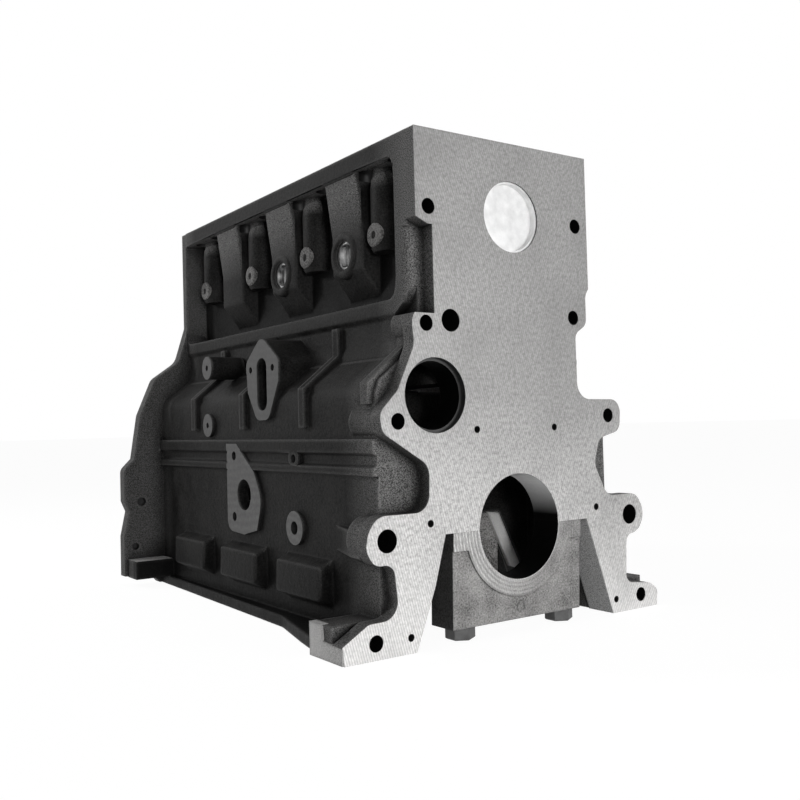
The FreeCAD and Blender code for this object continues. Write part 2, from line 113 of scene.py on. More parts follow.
# The left side's holes, as (y, z, radius, depth).
SIDE_HOLES = [
    (143, -1, 6, 14),
    (142, 60, 4, 10),
    (327, 152, 3, 16),
    (328, 92, 3, 14),
    (223, 143, 3.2, 14),
    (178, 143, 3.2, 14),
    (265, 61, 4.5, 14),
    (266, 1, 4.5, 14),
]

# Edges up to the smooth angle are shaded round. Cast edges over the sharp angle are rounded in these
# places, each a box of (low, high) pairs and its share of the full width. Angles are in degrees.
SMOOTH_ANGLE = 34
SHARP_ANGLE = 25
EDGE_WIDTH = 3.2
SHORTEST_EDGE = 7
CAST_EDGES = [
    (((-150, -131), (62, 440), (-74, -20)), 1),
    (((-140, -124), (80, 455), (46, 70)), 0.6),
    (((-101, -72), (29, 473), (188, 309)), 0.7),
]


# Meshes.


def new_object(name, mesh):
    obj = bpy.data.objects.new(name, mesh)
    bpy.context.scene.collection.objects.link(obj)
    return obj


def mesh_object(name, bm):
    """A finished object from a bmesh drawn in millimetres."""
    bmesh.ops.scale(bm, vec=(MM, MM, MM), verts=bm.verts)
    bmesh.ops.recalc_face_normals(bm, faces=bm.faces)
    mesh = bpy.data.meshes.new(name)
    bm.to_mesh(mesh)
    bm.free()
    return new_object(name, mesh)


AXIS_TURN = {
    "x": Matrix.Rotation(math.radians(90), 4, "Y"),
    "y": Matrix.Rotation(math.radians(-90), 4, "X"),
    "z": Matrix.Identity(4),
}


def add_rod(bm, axis, radius, centre, length, top_radius=None, segments=32):
    """A round bar centred on a point, along an axis."""
    matrix = Matrix.Translation(centre) @ AXIS_TURN[axis]
    top = radius if top_radius is None else top_radius
    bmesh.ops.create_cone(
        bm,
        cap_ends=True,
        segments=segments,
        radius1=radius,
        radius2=top,
        depth=length,
        matrix=matrix,
    )


def add_lathe(bm, axis, centre, profile, segments=48):
    """A ring turned about an axis from a closed outline of (radius, along) points."""
    matrix = Matrix.Translation(centre) @ AXIS_TURN[axis]
    rings = []
    for k in range(segments):
        a = 2 * math.pi * k / segments
        spots = [(r * math.cos(a), r * math.sin(a), t) for r, t in profile]
        rings.append([bm.verts.new(matrix @ Vector(spot)) for spot in spots])
    for k, here in enumerate(rings):
        there = rings[(k + 1) % segments]
        for i in range(len(profile)):
            j = (i + 1) % len(profile)
            bm.faces.new((here[i], here[j], there[j], there[i]))


def add_prism(bm, axis, corners, start, stop):
    """An outline drawn out along the x or y axis, its corners given in the other two."""
    order = {"x": (2, 0, 1), "y": (0, 2, 1)}[axis]
    near, far = [], []
    for side, level in ((near, start), (far, stop)):
        for a, b in corners:
            spot = (a, b, level)
            side.append(bm.verts.new([spot[i] for i in order]))
    bm.faces.new(near)
    bm.faces.new(far)
    for i in range(len(corners)):
        j = (i + 1) % len(corners)
        bm.faces.new((near[i], near[j], far[j], far[i]))


class Group:
    """Short words for building a geometry node group."""

    def __init__(self, name):
        self.tree = bpy.data.node_groups.new(name, "GeometryNodeTree")
        for way in ("INPUT", "OUTPUT"):
            self.tree.interface.new_socket("Geometry", in_out=way, socket_type="NodeSocketGeometry")
        self.source = self.add("NodeGroupInput").outputs[0]
        self.result = self.add("NodeGroupOutput").inputs[0]

    def add(self, kind):
        return self.tree.nodes.new(kind)

    def put(self, socket, value):
        if isinstance(value, bpy.types.NodeSocket):
            self.tree.links.new(value, socket)
        else:
            socket.default_value = value

    def calc(self, operation, *values):
        node = self.add("ShaderNodeMath")
        node.operation = operation
        for socket, value in zip(node.inputs, values):
            self.put(socket, value)
        return node.outputs[0]

    def inside(self, coordinate, low, high):
        """1 between two places in millimetres."""
        above = self.calc("GREATER_THAN", coordinate, low * MM)
        return self.calc("MULTIPLY", above, self.calc("LESS_THAN", coordinate, high * MM))

    def region(self, place, box):
        """1 inside a box of (low, high) pairs in millimetres."""
        parts = [self.inside(axis, *span) for axis, span in zip(place, box)]
        return self.calc("MULTIPLY", self.calc("MULTIPLY", parts[0], parts[1]), parts[2])


def smoothing_group():
    """A node group that shades smoothly across gentle edges and sharply across the rest."""
    group = Group("smooth_by_angle")
    gentle = group.add("FunctionNodeCompare")
    gentle.data_type = "FLOAT"
    gentle.operation = "LESS_EQUAL"
    group.put(gentle.inputs["A"], group.add("GeometryNodeInputMeshEdgeAngle").outputs["Unsigned Angle"])
    group.put(gentle.inputs["B"], math.radians(SMOOTH_ANGLE))
    faces = group.add("GeometryNodeSetShadeSmooth")
    faces.domain = "FACE"
    edges = group.add("GeometryNodeSetShadeSmooth")
    edges.domain = "EDGE"
    group.put(faces.inputs["Geometry"], group.source)
    group.put(edges.inputs["Geometry"], faces.outputs["Geometry"])
    group.put(edges.inputs["Shade Smooth"], gentle.outputs["Result"])
    group.put(group.result, edges.outputs["Geometry"])
    return group.tree


def smooth_by_angle(obj):
    tree = bpy.data.node_groups.get("smooth_by_angle") or smoothing_group()
    obj.modifiers.new("smooth", "NODES").node_group = tree


def soften(obj):
    """Rounds the long edges between cast faces in a few places, before anything is drilled."""
    group = Group("cast_edges")
    split = group.add("ShaderNodeSeparateXYZ")
    group.put(split.inputs[0], group.add("GeometryNodeInputPosition").outputs[0])
    total = 0.0
    for box, strength in CAST_EDGES:
        part = group.calc("MULTIPLY", group.region(split.outputs, box), strength)
        total = group.calc("MAXIMUM", total, part)
    ends = group.add("GeometryNodeInputMeshEdgeVertices")
    apart = group.add("ShaderNodeVectorMath")
    apart.operation = "DISTANCE"
    group.put(apart.inputs[0], ends.outputs["Position 1"])
    group.put(apart.inputs[1], ends.outputs["Position 2"])
    angle = group.add("GeometryNodeInputMeshEdgeAngle").outputs["Unsigned Angle"]
    sharp = group.calc("GREATER_THAN", angle, math.radians(SHARP_ANGLE))
    long = group.calc("GREATER_THAN", apart.outputs["Value"], SHORTEST_EDGE * MM)
    total = group.calc("MULTIPLY", total, group.calc("MULTIPLY", sharp, long))
    store = group.add("GeometryNodeStoreNamedAttribute")
    store.domain = "EDGE"
    store.data_type = "FLOAT"
    group.put(store.inputs["Geometry"], group.source)
    group.put(store.inputs["Name"], "bevel_weight_edge")
    group.put(store.inputs["Value"], total)
    group.put(group.result, store.outputs["Geometry"])
    obj.modifiers.new("cast_edges", "NODES").node_group = group.tree
    bevel = obj.modifiers.new("bevel", "BEVEL")
    bevel.limit_method = "WEIGHT"
    bevel.width = EDGE_WIDTH * MM
    bevel.segments = 3
    bevel.use_clamp_overlap = False


def weld(obj):
    """Joins the vertices that the CAD mesh has twice."""
    obj.modifiers.new("weld", "WELD").merge_threshold = 0.01 * MM


def cut(obj, cutter):
    """Cuts a hidden object's shape out of another, which takes the cutter's material there."""
    cutter.hide_render = True
    cutter.hide_viewport = True
    modifier = obj.modifiers.new("cut", "BOOLEAN")
    modifier.operation = "DIFFERENCE"
    modifier.solver = "EXACT"
    modifier.object = cutter
    if cutter.data.materials:
        modifier.material_mode = "TRANSFER"


# Materials.


class Tree:
    """Short words for building a material's nodes."""

    def __init__(self, name):
        self.material = bpy.data.materials.new(name)
        self.material.use_nodes = True
        self.nodes = self.material.node_tree.nodes
        self.links = self.material.node_tree.links
        self.surface = self.nodes["Principled BSDF"]

    def add(self, kind, settings=None, **inputs):
        node = self.nodes.new(kind)
        for key, value in (settings or {}).items():
            setattr(node, key, value)
        for key, value in inputs.items():
            self.put(node, key.replace("_", " "), value)
        return node

    def put(self, node, key, value):
        if isinstance(value, bpy.types.NodeSocket):
            self.links.new(value, node.inputs[key])
        else:
            node.inputs[key].default_value = value

    def calc(self, operation, *values):
        node = self.nodes.new("ShaderNodeMath")
        node.operation = operation
        for i, value in enumerate(values):
            self.put(node, i, value)
        return node.outputs[0]

    def largest(self, values):
        """1 where any of the masks is 1."""
        total = values[0]
        for value in values[1:]:
            total = self.calc("MAXIMUM", total, value)
        return total

    def noise(self, scale, detail=3.0, roughness=0.55):
        node = self.add("ShaderNodeTexNoise", Scale=scale, Detail=detail, Roughness=roughness)
        self.links.new(self.place, node.inputs["Vector"])
        return node.outputs["Fac"]

    def spread(self, value, low, high, to_low=0.0, to_high=1.0):
        """Stretches the range from low to high to another range, and holds its ends beyond it."""
        node = self.add("ShaderNodeMapRange", {"clamp": True})
        self.put(node, "Value", value)
        for key, number in zip(("From Min", "From Max", "To Min", "To Max"), (low, high, to_low, to_high)):
            self.put(node, key, number)
        return node.outputs["Result"]

    def blend(self, factor, a, b):
        """Mixes two colours."""
        node = self.add("ShaderNodeMix", {"data_type": "RGBA"})
        self.put(node, 0, factor)
        self.put(node, 6, a)
        self.put(node, 7, b)
        return node.outputs[2]

    def start(self):
        """The place and normal in the row's frame, in metres."""
        self.place = self.add("ShaderNodeTexCoord").outputs["Object"]
        split = self.add("ShaderNodeSeparateXYZ", Vector=self.place)
        self.x, self.y, self.z = split.outputs
        normal = self.add("ShaderNodeNewGeometry").outputs["True Normal"]
        self.nx, self.ny, self.nz = self.add("ShaderNodeSeparateXYZ", Vector=normal).outputs

    def at(self, coordinate, value, width=0.4):
        """1 where a coordinate is at a value in millimetres."""
        return self.calc("COMPARE", coordinate, value * MM, width * MM)

    def between(self, coordinate, low, high):
        """1 between two places in millimetres."""
        above = self.calc("GREATER_THAN", coordinate, low * MM)
        return self.calc("MULTIPLY", above, self.calc("LESS_THAN", coordinate, high * MM))

    def round(self, a, b, a0, b0, radius, width=0.6):
        """1 on a round wall about the point (a0, b0)."""
        da = self.calc("SUBTRACT", a, a0 * MM)
        db = self.calc("SUBTRACT", b, b0 * MM)
        squares = self.calc("ADD", self.calc("MULTIPLY", da, da), self.calc("MULTIPLY", db, db))
        return self.at(self.calc("SQRT", squares), radius, width)


def grey(value, warmth=0.0):
    """A grey with a little more red than blue."""
    return (value * (1 + warmth), value, value * (1 - warmth), 1)


CAST_DARK = grey(0.006, 0.02)
CAST_LIGHT = grey(0.03, 0.02)
# Pale painted light on the casting's ends and on the chamber's panels and domes.
CAST_PAINTED_LIGHT = grey(0.3, 0.01)
SAND_GRAIN = grey(0.08)
# Painted light on the right leg's inner flank.
LEG_FLANK_PAINTED_LIGHT = grey(0.75)
CAP_DARK = grey(0.05, 0.02)
CAP_LIGHT = grey(0.5, 0.02)
WORN_DARK = grey(0.03, 0.02)
WORN_LIGHT = grey(0.3, 0.02)
BRIGHT_DARK = grey(0.7, 0.01)
BRIGHT_LIGHT = grey(0.8, 0.01)
# Painted light and shade: machined iron lighter at the foot than at the top.
MACHINED_TOP_PAINTED_SHADE = grey(0.4, 0.01)
MACHINED_FOOT_PAINTED_LIGHT = grey(0.9, 0.01)
# Painted shade on the deck's upward face.
DECK_PAINTED_SHADE = grey(0.25)
PAD_DARKER = grey(0.075)
# Painted highlight at the top of the main bore.
CROWN_PAINTED_HIGHLIGHT = grey(0.95)
STAIN = grey(0.16, 0.01)
# Near-black painted shade for recesses, holes, bores and shaded corners.
PAINTED_SHADE = grey(0.004)
# Lighter raised edges: partly real wear, partly painted highlight.
EDGE_WEAR_AND_HIGHLIGHT = grey(0.3, 0.01)
# Painted shade on the walls and floors of the drilled holes.
DRILLED_SHADE_DARK = grey(0.004)
DRILLED_SHADE_LIGHT = grey(0.012)
BOLT_DARK = grey(0.04)
BOLT_LIGHT = grey(0.09)
PLUG_DARK = grey(0.68)
PLUG_LIGHT = grey(0.84)
# The chamber plugs' painted shade and upright painted reflections.
PLUG_PAINTED_SHADE = grey(0.04)
PLUG_PAINTED_REFLECTION = grey(0.6)

# How fine each pattern is, in spots for each metre.
GRIT_SCALE = 1100
GRAIN_SCALE = 900
SCRATCH_SCALE = 700
SAND_SCALE = 650
SPECK_SCALE = 330
LUMP_SCALE = 210
# The chamber plugs' painted reflections are streaks this fine, drawn out upright.
STREAK_SCALE = 190
STREAK_STRETCH = (1, 1, 0.03)
STEEL_STAIN_SCALE = 120
BLOTCH_SCALE = 38
STAIN_SCALE = 14
WAVER_SCALE = 7

HATCH_SPACING = 2.3
RING_SPACING = 3.2
LEFTWARD = -0.95
UPWARD = 0.9


def both(t, *masks):
    """1 where all the masks are 1."""
    total = masks[0]
    for mask in masks[1:]:
        total = t.calc("MULTIPLY", total, mask)
    return total


def share(t, mask, part):
    """A part of a mask."""
    return t.calc("MULTIPLY", mask, part)


def hatch(t):
    """The face mill's fine slanting marks."""
    bend = t.calc("MULTIPLY", t.noise(WAVER_SCALE, 2), 12 * MM)
    slant = t.calc("ADD", t.calc("ADD", t.x, t.calc("MULTIPLY", t.z, 0.3)), bend)
    waves = t.calc("SINE", t.calc("MULTIPLY", slant, 2 * math.pi / (HATCH_SPACING * MM)))
    return t.spread(waves, -1, 1)


def side_pads_mask(t):
    """The pads and bosses of the left wall, clear of the raised strip and the ear behind it."""
    plane = t.at(t.x, PAD_FACE)
    past_ear = t.calc("GREATER_THAN", t.y, 66 * MM)
    above_strip = t.calc("GREATER_THAN", t.z, 80 * MM)
    below_strip = t.calc("LESS_THAN", t.z, 47.5 * MM)
    slant = t.calc("SUBTRACT", t.calc("MULTIPLY", t.y, 0.703), t.z)
    drain_tip = both(
        t,
        t.calc("GREATER_THAN", slant, 109.4 * MM),
        t.between(t.y, 215, 283),
        t.between(t.z, 40, 73),
    )
    where = t.largest([above_strip, below_strip, drain_tip])
    return both(t, plane, past_ear, where, t.calc("LESS_THAN", t.nx, LEFTWARD))


def far_foot_mask(t):
    """The machined top of the far foot."""
    up = t.calc("GREATER_THAN", t.nz, UPWARD)
    outer = t.calc("LESS_THAN", t.x, -135 * MM)
    return both(t, up, t.between(t.z, -70, -50), t.between(t.y, 438, 469), outer)


def painted_light_mask(t):
    """Where the casting gets pale, gritty painted light: its ends, and the chamber's panels and domes."""
    near_end = t.spread(t.y, 14 * MM, 60 * MM, 0.7, 0)
    far_end = t.spread(t.y, 440 * MM, 468 * MM, 0, 0.5)
    along = t.between(t.y, *CHAMBER_SPAN)
    panels = both(t, t.between(t.x, -99.6, -92.6), along, t.spread(t.z, 250 * MM, 290 * MM, 0, 0.9))
    domes = both(t, t.between(t.x, -92, -80), along, t.spread(t.z, 290 * MM, 302 * MM, 0, 0.9))
    return t.largest([near_end, far_end, panels, domes])


def leg_light_mask(t):
    """Painted light on the inner flank of the right leg."""
    inward = t.calc("LESS_THAN", t.nx, -0.5)
    return both(t, t.between(t.x, 60, 118), t.calc("LESS_THAN", t.y, 31 * MM), inward)


def cap_slot_mask(t):
    """The left flanks of the caps, in the shade of the left leg."""
    return both(t, t.calc("LESS_THAN", t.nx, -0.8), t.between(t.x, -76, -68))


def low_wall_shade_mask(t):
    """Painted shade at the foot of the left wall, under the bulges."""
    low = t.spread(t.z, -30 * MM, -60 * MM)
    return both(t, low, t.calc("LESS_THAN", t.x, -118 * MM), t.between(t.y, 60, 450))


def flange_hole_shade_mask(t):
    """Painted shade on the walls of the near face's larger holes."""
    walls = t.largest([t.round(t.x, t.z, *hole, 1) for hole in FLANGE_HOLES])
    return both(t, walls, t.between(t.y, 0.3, END_WEB))


def bore_shade_mask(t):
    """Painted shade in the camshaft's bore and in the main bore's lower part, which leaves a bright
    crescent at the main bore's top.
    """
    main_bore = t.round(t.x, t.z, 0, 0, MAIN_RADIUS)
    lower = t.spread(t.z, 36 * MM, 6 * MM)
    cam = t.largest([t.round(t.x, t.z, CAM_X, CAM_Z, r) for r in (CAM_RADIUS, CAM_MOUTH)])
    inside = t.calc("GREATER_THAN", t.y, 0.3 * MM)
    return both(t, t.largest([both(t, main_bore, lower), cam]), inside)


def openness(t, distance, inside=False):
    """How open a place is: low in holes and corners, or inside out, low along raised edges."""
    node = t.add("ShaderNodeAmbientOcclusion", {"samples": 6, "only_local": True, "inside": inside})
    t.put(node, "Distance", distance * MM)
    return node.outputs["AO"]


def machined_mask(t):
    """1 on the faces and bores that tools have cut."""
    from_first = t.calc("SUBTRACT", t.y, (BORES[0] - BORE_PITCH / 2) * MM)
    along = t.calc("SUBTRACT", t.calc("MODULO", from_first, BORE_PITCH * MM), BORE_PITCH / 2 * MM)
    squares = t.calc("ADD", t.calc("MULTIPLY", t.x, t.x), t.calc("MULTIPLY", along, along))
    bore_walls = t.at(t.calc("SQRT", squares), BORE_RADIUS, 0.7)
    return t.largest([
        t.at(t.y, 0),
        t.at(t.y, LENGTH),
        t.at(t.z, DECK),
        t.at(t.z, RAIL),
        side_pads_mask(t),
        far_foot_mask(t),
        both(t, bore_walls, t.calc("GREATER_THAN", t.z, BORE_FOOT * MM)),
        t.round(t.x, t.z, 0, 0, MAIN_RADIUS),
        t.round(t.x, t.z, CAM_X, CAM_Z, CAM_RADIUS),
        t.round(t.x, t.z, CAM_X, CAM_Z, CAM_MOUTH),
    ])


def cap_mask(t):
    """The land round the bore, left bright by the tool on one side and worn grey on the other."""
    squares = t.calc("ADD", t.calc("MULTIPLY", t.x, t.x), t.calc("MULTIPLY", t.z, t.z))
    radius = t.calc("SQRT", squares)
    waves = t.calc("SINE", t.calc("MULTIPLY", radius, 2 * math.pi / (RING_SPACING * MM)))
    rings = t.spread(waves, -0.6, 0.6, 0.35, 1)
    across = t.calc("SUBTRACT", t.x, t.calc("MULTIPLY", t.z, 0.6))
    fade = t.spread(across, -20 * MM, 55 * MM, 1, 0.12)
    return t.largest([both(t, t.at(t.y, 0), rings, fade), t.round(t.x, t.z, 0, 0, MAIN_RADIUS)])


def no_mask(t):
    return t.calc("MULTIPLY", 0.0, 0.0)


def cast_colour(t, dark, light, grain, blotch):
    """Mottled sand-cast iron with grain, lit by pale painted light on its ends, panels and domes and on the
    right leg's flank, its raised edges lighter with wear and painted highlight, and black with painted
    shade where it is closed in.
    """
    grit = t.noise(GRIT_SCALE, 2, 0.6)
    gap = openness(t, 28)
    mottle = t.calc("ADD", share(t, blotch, 0.45), share(t, t.noise(SAND_SCALE, 2), 0.55))
    cast = t.blend(t.spread(mottle, 0.38, 0.62), dark, light)
    # Pale painted light, speckled with grit, in the open parts of the ends, panels and domes.
    painted_pale = both(t, painted_light_mask(t), t.spread(grit, 0.38, 0.62, 0.1, 1), t.spread(gap, 0.35, 0.75))
    cast = t.blend(painted_pale, cast, CAST_PAINTED_LIGHT)
    cast = t.blend(t.spread(grain, 0.6, 0.8, 0, 0.35), cast, SAND_GRAIN)
    # Raised edges lighter: partly real wear, partly painted highlight that is stronger on upward faces.
    edges = t.spread(openness(t, 3.5, inside=True), 0.62, 0.9, 0.6, 0)
    up = t.spread(t.nz, -0.2, 0.5, 0.35, 1)
    cast = t.blend(both(t, edges, up, t.spread(grit, 0.3, 0.6, 0.3, 1)), cast, EDGE_WEAR_AND_HIGHLIGHT)
    # Painted light on the right leg's inner flank.
    cast = t.blend(both(t, leg_light_mask(t), t.spread(grit, 0.35, 0.6, 0.3, 1)), cast, LEG_FLANK_PAINTED_LIGHT)
    # Painted shade: black in recesses, on the caps' flanks beside the left leg, under the bulges and in the
    # near face's larger holes.
    cast = t.blend(t.spread(gap, 0.25, 0.8, 0.85, 0), cast, PAINTED_SHADE)
    cast = t.blend(share(t, cap_slot_mask(t), 0.8), cast, PAINTED_SHADE)
    cast = t.blend(share(t, low_wall_shade_mask(t), 0.8), cast, PAINTED_SHADE)
    return t.blend(flange_hole_shade_mask(t), cast, PAINTED_SHADE)


def machined_colour(t, marks):
    """Milled iron with stains and specks, painted lighter at the foot and darker above, with painted shade
    on the deck and in the bores, a painted highlight at the main bore's top, and darker left pads.
    """
    # Painted light and shade: lighter towards the foot, darker towards the top.
    bright = t.blend(t.spread(t.z, -90 * MM, 110 * MM), MACHINED_FOOT_PAINTED_LIGHT, MACHINED_TOP_PAINTED_SHADE)
    bright = t.blend(t.spread(t.noise(STAIN_SCALE, 5), 0.45, 0.75, 0, 0.35), bright, STAIN)
    bright = t.blend(share(t, marks, 0.34), bright, STAIN)
    specks = t.spread(t.noise(SPECK_SCALE, 3, 0.7), 0.4, 0.66, 0, 0.6)
    bright = t.blend(both(t, specks, t.spread(t.z, -90 * MM, 0.0, 0.4, 1)), bright, STAIN)
    # Painted shade darkens the deck's upward face.
    up = t.calc("GREATER_THAN", t.nz, UPWARD)
    deck = both(t, up, t.calc("GREATER_THAN", t.z, (DECK - 3) * MM))
    bright = t.blend(share(t, deck, 0.45), bright, DECK_PAINTED_SHADE)
    # The left pads are a darker grey than the other machined faces.
    to_left = t.calc("LESS_THAN", t.nx, LEFTWARD)
    pads = both(t, t.at(t.x, PAD_FACE), to_left, t.calc("GREATER_THAN", t.y, 60 * MM))
    bright = t.blend(share(t, pads, 0.85), bright, PAD_DARKER)
    # Painted highlight in the near end of the main bore, left showing at its top.
    crown = both(t, t.round(t.x, t.z, 0, 0, MAIN_RADIUS), t.between(t.y, 0.3, END_WEB + 1))
    bright = t.blend(share(t, crown, 0.8), bright, CROWN_PAINTED_HIGHLIGHT)
    # Painted shade in the bores.
    return t.blend(bore_shade_mask(t), bright, PAINTED_SHADE)


def iron_material(name, cast_dark, cast_light, mask_maker):
    """Sand-cast iron that is bright where it has been machined."""
    t = Tree(name)
    t.start()
    mask = mask_maker(t)
    grain = t.noise(GRAIN_SCALE, 4)
    blotch = t.noise(BLOTCH_SCALE, 4)
    marks = hatch(t)
    cast = cast_colour(t, cast_dark, cast_light, grain, blotch)
    t.put(t.surface, "Base Color", t.blend(mask, cast, machined_colour(t, marks)))
    t.put(t.surface, "Metallic", share(t, mask, 0.3))
    rough = t.spread(mask, 0, 1, 0.5, 0.42)
    t.put(t.surface, "Roughness", t.calc("ADD", rough, t.spread(blotch, 0.3, 0.7, -0.06, 0.06)))
    t.surface.inputs["Specular IOR Level"].default_value = 0.05
    lumps = t.calc("ADD", share(t, grain, 0.5), t.noise(LUMP_SCALE, 3))
    height = both(t, lumps, t.calc("SUBTRACT", 1.0, mask))
    height = t.calc("ADD", height, share(t, both(t, marks, mask), 0.05))
    rounding = t.add("ShaderNodeBevel", {"samples": 6})
    t.put(rounding, "Radius", t.spread(mask, 0, 1, 3 * MM, 0.4 * MM))
    bump = t.add("ShaderNodeBump", Strength=0.6, Distance=0.9 * MM)
    t.put(bump, "Height", height)
    t.put(bump, "Normal", rounding.outputs[0])
    t.put(t.surface, "Normal", bump.outputs[0])
    return t.material


def scratch(t):
    """Faint scratches in steel."""
    bump = t.add("ShaderNodeBump", Strength=0.25, Distance=0.3 * MM)
    t.put(bump, "Height", t.noise(SCRATCH_SCALE, 2))
    t.put(t.surface, "Normal", bump.outputs[0])


def steel_material(name, dark, light, roughness, metallic):
    """Plain steel with faint stains."""
    t = Tree(name)
    t.start()
    stains = t.noise(STEEL_STAIN_SCALE, 4)
    t.put(t.surface, "Base Color", t.blend(t.spread(stains, 0.3, 0.7), dark, light))
    t.put(t.surface, "Roughness", t.spread(stains, 0.3, 0.7, roughness - 0.06, roughness + 0.08))
    t.surface.inputs["Metallic"].default_value = metallic
    scratch(t)
    return t.material


def plug_material():
    """Pressed steel: bright in the near face; in the chamber, painted shade with upright streaks of painted
    reflection.
    """
    t = Tree("plug_steel")
    t.start()
    stains = t.spread(t.noise(STEEL_STAIN_SCALE, 4), 0.3, 0.7)
    drawn = t.add("ShaderNodeVectorMath", {"operation": "MULTIPLY"})
    t.links.new(t.place, drawn.inputs[0])
    drawn.inputs[1].default_value = STREAK_STRETCH
    streaks = t.add("ShaderNodeTexNoise", Scale=STREAK_SCALE, Detail=2.0)
    t.links.new(drawn.outputs[0], streaks.inputs["Vector"])
    plain = t.blend(stains, PLUG_DARK, PLUG_LIGHT)
    # In the chamber: painted shade with upright streaks of painted reflection.
    shade_and_reflections = t.blend(t.spread(streaks.outputs["Fac"], 0.35, 0.68), PLUG_PAINTED_SHADE, PLUG_PAINTED_REFLECTION)
    in_chamber = t.calc("GREATER_THAN", t.y, 50 * MM)
    t.put(t.surface, "Base Color", t.blend(in_chamber, plain, shade_and_reflections))
    t.put(t.surface, "Roughness", t.spread(stains, 0, 1, 0.28, 0.42))
    t.surface.inputs["Metallic"].default_value = 0.4
    t.surface.inputs["Specular IOR Level"].default_value = 0.2
    scratch(t)
    return t.material


def dress(obj, material):
    obj.data.materials.clear()
    obj.data.materials.append(material)


# Drillings.


def near_face_drillings(bm):
    """The small tapped holes of the near face."""
    for x, z in NEAR_TAPS:
        add_rod(bm, "y", NEAR_TAP_RADIUS, (x, 6, z), 14, segments=20)


def side_drillings(bm):
    """The holes of the left side's pads and bosses."""
    for y, z, radius, depth in SIDE_HOLES:
        add_rod(bm, "x", radius, (PAD_FACE + depth / 2 - 1, y, z), depth + 2, segments=24)


def head_bolt_places():
    """The head bolts' places in the deck, as (x, y)."""
    rows = [(x, y) for y in [12] + WEBS + [LENGTH - 12] for x in HEAD_BOLT_XS]
    beside = [(-76.5, y) for y in COLUMN_YS] + [(75, y) for y in BORES]
    return rows + beside


def deck_drillings(bm):
    """Head bolt holes, pushrod holes and small coolant holes."""
    depth = HEAD_BOLT_DEPTH + 1
    for x, y in head_bolt_places():
        add_rod(bm, "z", HEAD_BOLT_RADIUS, (x, y, DECK + 1 - depth / 2), depth, segments=28)
    for y in BORES:
        for side in (-1, 1):
            pushrod = (PUSHROD_X, y + side * VALVE_REACH, DECK - 8)
            coolant = (COOLANT_X, y + side * COOLANT_REACH, DECK - 5)
            add_rod(bm, "z", PUSHROD_RADIUS, pushrod, 30, segments=24)
            add_rod(bm, "z", COOLANT_RADIUS, coolant, 16, segments=20)


def tappet_drillings(bm):
    """The tappets' bores, down through the chamber's floor to the camshaft."""
    for y in BORES:
        for side in (-1, 1):
            place = (CAM_X, y + side * VALVE_REACH, CHAMBER_FLOOR - 28)
            add_rod(bm, "z", TAPPET_RADIUS, place, 66, segments=40)


def far_flange_drillings(bm):
    """The gear housing's bolt holes in the part of the far plate that stands out."""
    for x, z, radius in FAR_TAPS:
        add_rod(bm, "y", radius, (x, LENGTH - 11, z), 10, segments=24)


def cam_mouth(bm):
    """The shallow counterbore of the camshaft's near bearing."""
    add_rod(bm, "y", CAM_MOUTH, (CAM_X, 2, CAM_Z), 6, segments=96)


def rail_drillings(bm):
    """The sump bolts' holes, up through both rails."""
    for y in RAIL_TAP_YS:
        for x in RAIL_TAP_XS:
            add_rod(bm, "z", RAIL_TAP_RADIUS, (x, y, RAIL + 3), 10, segments=20)


def drill_block(block, dark):
    """Cuts each family of holes out of the casting in turn."""
    makers = (
        near_face_drillings,
        side_drillings,
        deck_drillings,
        tappet_drillings,
        rail_drillings,
        far_flange_drillings,
        cam_mouth,
    )
    for i, make in enumerate(makers):
        bm = bmesh.new()
        make(bm)
        cutter = mesh_object(f"cutter_{i}", bm)
        dress(cutter, dark)
        cut(block, cutter)


def hollow_plugs(plugs):
    """Dishes the two chamber plugs."""
    bm = bmesh.new()
    for y in PLUG_YS:
        centre = (PLUG_SEAT + 3.5, y, PLUG_Z)
        add_rod(bm, "x", PLUG_DISH, centre, 6, top_radius=PLUG_DISH_FLOOR, segments=48)
    cut(plugs, mesh_object("cutter_plugs", bm))


# Added forms.


def finish_piece(name, bm, material):
    """Makes a drawn piece an object with its material, slot and body."""
    piece = mesh_object(name, bm)
    dress(piece, material)
    smooth_by_angle(piece)
    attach(piece, ROOT)


def chamber_forms(iron, worn):
    """The full round of the columns, the cover's screw bosses and the rims round the plugs."""
    for i, y in enumerate(COLUMN_YS, start=1):
        bm = bmesh.new()
        add_lathe(bm, "z", (COLUMN_X, y - 1, 0), COLUMN_PROFILE)
        finish_piece(f"column_{i}", bm, iron)
        bm = bmesh.new()
        add_lathe(bm, "x", (COVER_FACE, y, COVER_Z), BOSS_PROFILE)
        finish_piece(f"cover_boss_{i}", bm, worn)
    for i, y in enumerate(PLUG_YS, start=1):
        bm = bmesh.new()
        add_lathe(bm, "x", (PLUG_SEAT - 2, y, PLUG_Z), PLUG_RIM, 64)
        finish_piece(f"plug_rim_{i}", bm, iron)


def web_strip(material):
    """The bright slanting strip seen on the first web through the crankshaft's bore."""
    bm = bmesh.new()
    add_prism(bm, "y", STRIP_CORNERS, *STRIP_SPAN)
    finish_piece("web_strip", bm, material)


def foot_land(material):
    """The machined L on the outer side of the near foot."""
    bm = bmesh.new()
    add_prism(bm, "x", FOOT_CORNERS, *FOOT_SPAN)
    finish_piece("foot_land", bm, material)


def cap_mark(material):
    """The raised ring on the near cap's face."""
    bm = bmesh.new()
    add_lathe(bm, "y", (0, 1.5, CAP_MARK_Z), CAP_MARK_PROFILE, 32)
    finish_piece("cap_ring", bm, material)


